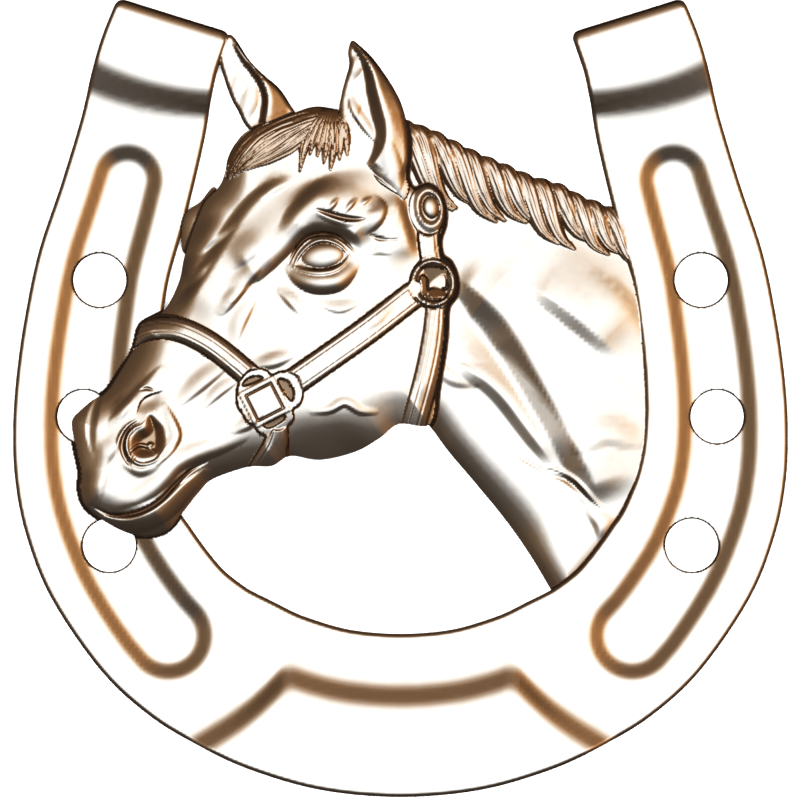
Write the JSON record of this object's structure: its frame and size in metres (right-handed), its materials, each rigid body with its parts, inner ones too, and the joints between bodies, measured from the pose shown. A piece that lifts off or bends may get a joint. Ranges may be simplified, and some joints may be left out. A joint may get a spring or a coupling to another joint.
{
  "type": "horse brass",
  "caption": "Cast metal horse brass: a horseshoe with nail holes, raised heels and a raised toe, framing a horse's head in a halter, in relief on a flat back.",
  "frame": {"origin": "on the flat back, under the middle of the whole piece", "axes": "+Z out of the carved face, +Y from the shoe's toe to its heels, +X to the shoe's right as the face is seen"},
  "size_m": [0.0876, 0.09, 0.0117],
  "materials": {
    "cast_brass": "cast and polished, with dark patina left in the hollows and on the steep flanks"
  },
  "bodies": {
    "root": {"horse_brass": "cast_brass"}
  },
  "joints": []
}
